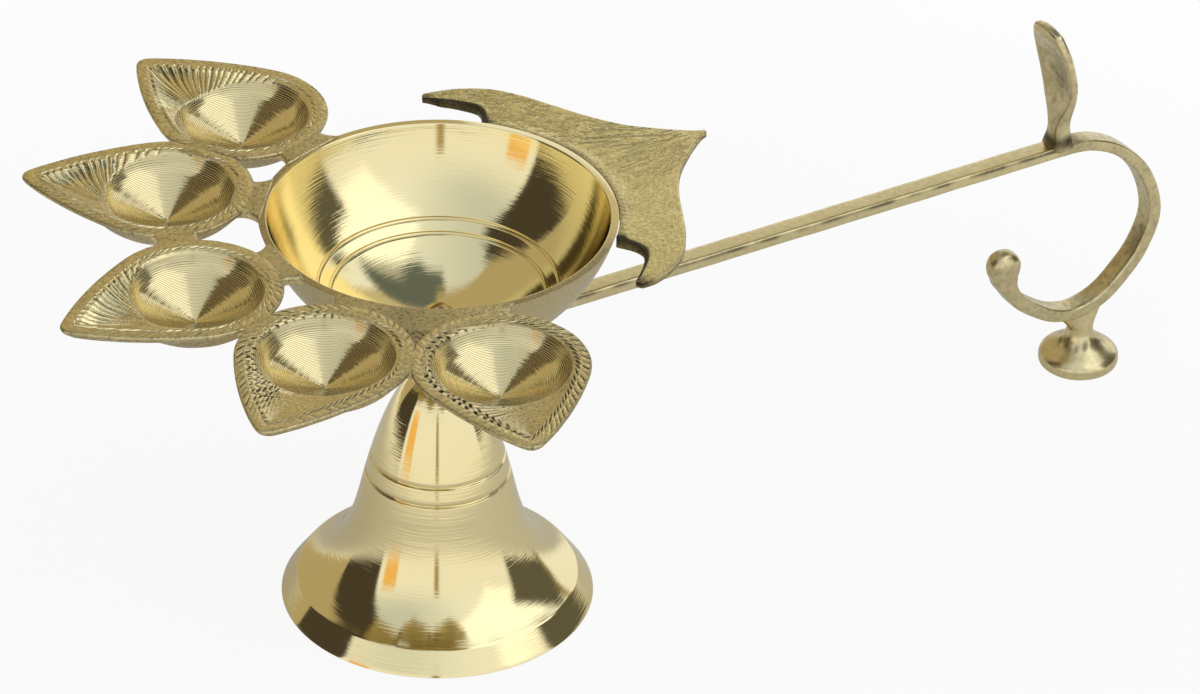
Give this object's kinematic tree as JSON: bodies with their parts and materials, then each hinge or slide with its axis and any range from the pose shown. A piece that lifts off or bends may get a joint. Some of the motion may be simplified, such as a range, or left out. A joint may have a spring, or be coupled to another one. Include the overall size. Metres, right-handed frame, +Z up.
{
  "type": "aarti lamp",
  "caption": "Brass hand lamp for aarti: leaf-shaped wick cups round an oil bowl on a bell stand, with a straight handle, thumb leaf, finger hook and foot.",
  "frame": {"origin": "middle of the bell stand's base, on the table", "axes": "+Z up along the centre screw, +X along the handle to the finger hook, the leaf cups towards -X"},
  "size_m": [0.2521, 0.1546, 0.0868],
  "materials": {
    "turned_brass": "turned and polished",
    "cast_brass": "cast, chased and worn",
    "handle_brass": "satin, filed",
    "screw_brass": "turned"
  },
  "bodies": {
    "stand": {"bell_stand": "turned_brass", "centre_screw": "screw_brass", "stand_washer": "screw_brass", "clamp_nut": "screw_brass"},
    "handle": {"handle_bar": "handle_brass", "finger_hook": "handle_brass", "thumb_leaf": "handle_brass", "handle_foot": "handle_brass"},
    "head": {"oil_bowl": "turned_brass", "leaf_cup_right": "cast_brass", "leaf_cup_front_right": "cast_brass", "leaf_cup_front": "cast_brass", "leaf_cup_front_left": "cast_brass", "leaf_cup_left": "cast_brass", "tail_fan": "cast_brass"}
  },
  "joints": [
    {"name": "handle_swivel", "type": "hinge", "parent": "stand", "child": "handle", "pos_m": [0, 0, 0.058], "axis": [0, 0, 1], "continuous": true},
    {"name": "head_swivel", "type": "hinge", "parent": "stand", "child": "head", "pos_m": [0, 0, 0.06], "axis": [0, 0, 1], "continuous": true}
  ]
}
